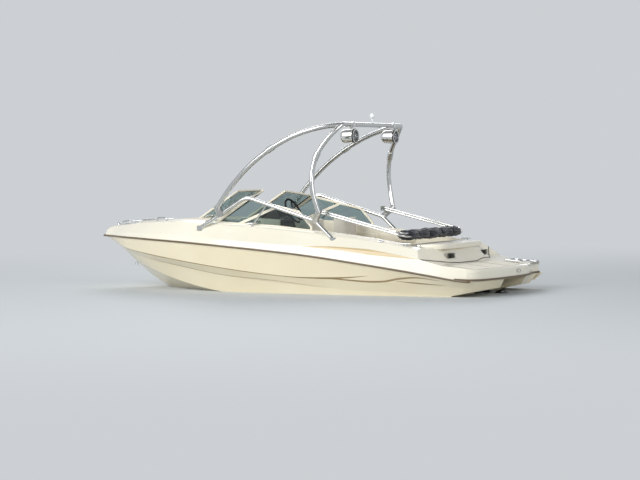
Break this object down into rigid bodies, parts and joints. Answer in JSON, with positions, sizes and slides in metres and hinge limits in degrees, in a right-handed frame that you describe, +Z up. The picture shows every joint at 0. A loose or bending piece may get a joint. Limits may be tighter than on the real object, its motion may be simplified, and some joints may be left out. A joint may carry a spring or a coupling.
{
  "type": "open bow speedboat with a tow tower",
  "caption": "Open bow runabout afloat: V hull, raked windshield with an opening centre pane, tow tower with speakers, folded bimini, swim platform and stern drive.",
  "frame": {"origin": "on the centreline in the plane of the water, about amidships", "axes": "+X forward to the bow, +Y to port, +Z up"},
  "size_m": [6.4489, 2.4188, 2.9986],
  "materials": {
    "hull_gelcoat": "polished gelcoat, cream with fine tan stripes",
    "deck_gelcoat": "polished gelcoat, off white",
    "liner_gelcoat": "gelcoat with a fine nonskid sole",
    "rail_vinyl": "satin extruded vinyl",
    "polished_aluminium": "polished",
    "cast_aluminium": "satin cast",
    "speaker_paint": "chromed",
    "lamp_plastic": "clear lens on a white base",
    "engine_paint": "satin",
    "frame_paint": "satin anodised",
    "tinted_glass": "green grey tint",
    "canvas": "woven acrylic, navy",
    "seat_plastic": "rotational moulding",
    "vinyl": "marine vinyl with piping",
    "dash_plastic": "soft textured",
    "wheel_rubber": "soft grip on a metal spider",
    "stainless": "polished stainless",
    "drive_paint": "gloss black",
    "propeller_alloy": "satin black"
  },
  "bodies": {
    "root": {"all_round_light": "lamp_plastic", "bench_backrest": "vinyl", "bench_cushion": "vinyl", "bimini_mounts": "cast_aluminium", "bow_cushions": "vinyl", "bow_eye": "stainless", "bow_grab_rails": "stainless", "bow_liner": "liner_gelcoat", "cockpit_liner": "liner_gelcoat", "cockpit_sole": "liner_gelcoat", "console_liner": "liner_gelcoat", "deck": "deck_gelcoat", "engine_block": "engine_paint", "gimbal_housing": "drive_paint", "hatch_hinges": "stainless", "helm_seat_pedestal": "cast_aluminium", "hull": "hull_gelcoat", "instrument_pod": "dash_plastic", "ladder_brackets": "stainless", "mooring_cleats": "stainless", "passenger_seat_pedestal": "cast_aluminium", "rub_rail": "rail_vinyl", "swim_platform": "deck_gelcoat", "tow_eye": "stainless", "tower_base_tubes": "polished_aluminium", "tower_clamps": "cast_aluminium", "tower_hoop": "polished_aluminium", "tower_speakers": "speaker_paint", "windshield_frame": "frame_paint", "windshield_glass": "tinted_glass"},
    "steering_wheel": {"steering_wheel": "wheel_rubber"},
    "drive_fork": {"steering_fork": "drive_paint"},
    "drive": {"drive_leg": "drive_paint"},
    "propeller": {"propeller": "propeller_alloy"},
    "hatch": {"engine_hatch": "deck_gelcoat"},
    "centre_pane": {"centre_pane_frame": "frame_paint", "centre_pane_glass": "tinted_glass"},
    "ladder": {"boarding_ladder": "stainless"},
    "bimini": {"bimini_bows": "polished_aluminium", "bimini_boot": "canvas"},
    "helm_seat": {"helm_seat_shell": "seat_plastic", "helm_seat_cushions": "vinyl"},
    "passenger_seat": {"passenger_seat_shell": "seat_plastic", "passenger_seat_cushions": "vinyl"}
  },
  "joints": [
    {"name": "drive_steer", "type": "hinge", "parent": "root", "child": "drive_fork", "pos_m": [-2.572, 0, -0.12], "axis": [0, 0, 1], "range_deg": [-28, 28]},
    {"name": "drive_tilt", "type": "hinge", "parent": "drive_fork", "child": "drive", "pos_m": [-2.572, 0, -0.12], "axis": [0, 1, 0], "range_deg": [-25, 15]},
    {"name": "propeller_spin", "type": "hinge", "parent": "drive", "child": "propeller", "pos_m": [-3.0813, 0, -0.46672], "axis": [0.9397, 0, -0.342], "continuous": true},
    {"name": "helm_turn", "type": "hinge", "parent": "root", "child": "steering_wheel", "pos_m": [0.5, -0.48, 1.03], "axis": [-0.8829, 0, 0.4695], "range_deg": [-545, 545]},
    {"name": "hatch_lift", "type": "hinge", "parent": "root", "child": "hatch", "pos_m": [-1.922, 0, 0.628], "axis": [0, 1, 0], "range_deg": [0, 70]},
    {"name": "pane_close", "type": "hinge", "parent": "root", "child": "centre_pane", "pos_m": [1.14511, 0.32, 0.96976], "axis": [0.8536, 0, -0.5209], "range_deg": [0, 180]},
    {"name": "ladder_drop", "type": "hinge", "parent": "root", "child": "ladder", "pos_m": [-2.935, -0.64, 0.366], "axis": [0, -1, 0], "range_deg": [0, 250]},
    {"name": "bimini_raise", "type": "hinge", "parent": "root", "child": "bimini", "pos_m": [-0.64, 0, 1.04], "axis": [0, 1, 0], "range_deg": [0, 60]},
    {"name": "helm_seat_swivel", "type": "hinge", "parent": "root", "child": "helm_seat", "pos_m": [-0.15, -0.48, 0.43], "axis": [0, 0, 1], "continuous": true},
    {"name": "passenger_seat_swivel", "type": "hinge", "parent": "root", "child": "passenger_seat", "pos_m": [-0.15, 0.48, 0.43], "axis": [0, 0, 1], "continuous": true}
  ],
  "couplings": [
    {"joint": "helm_turn", "follows": "drive_steer", "ratio": -19.286}
  ]
}
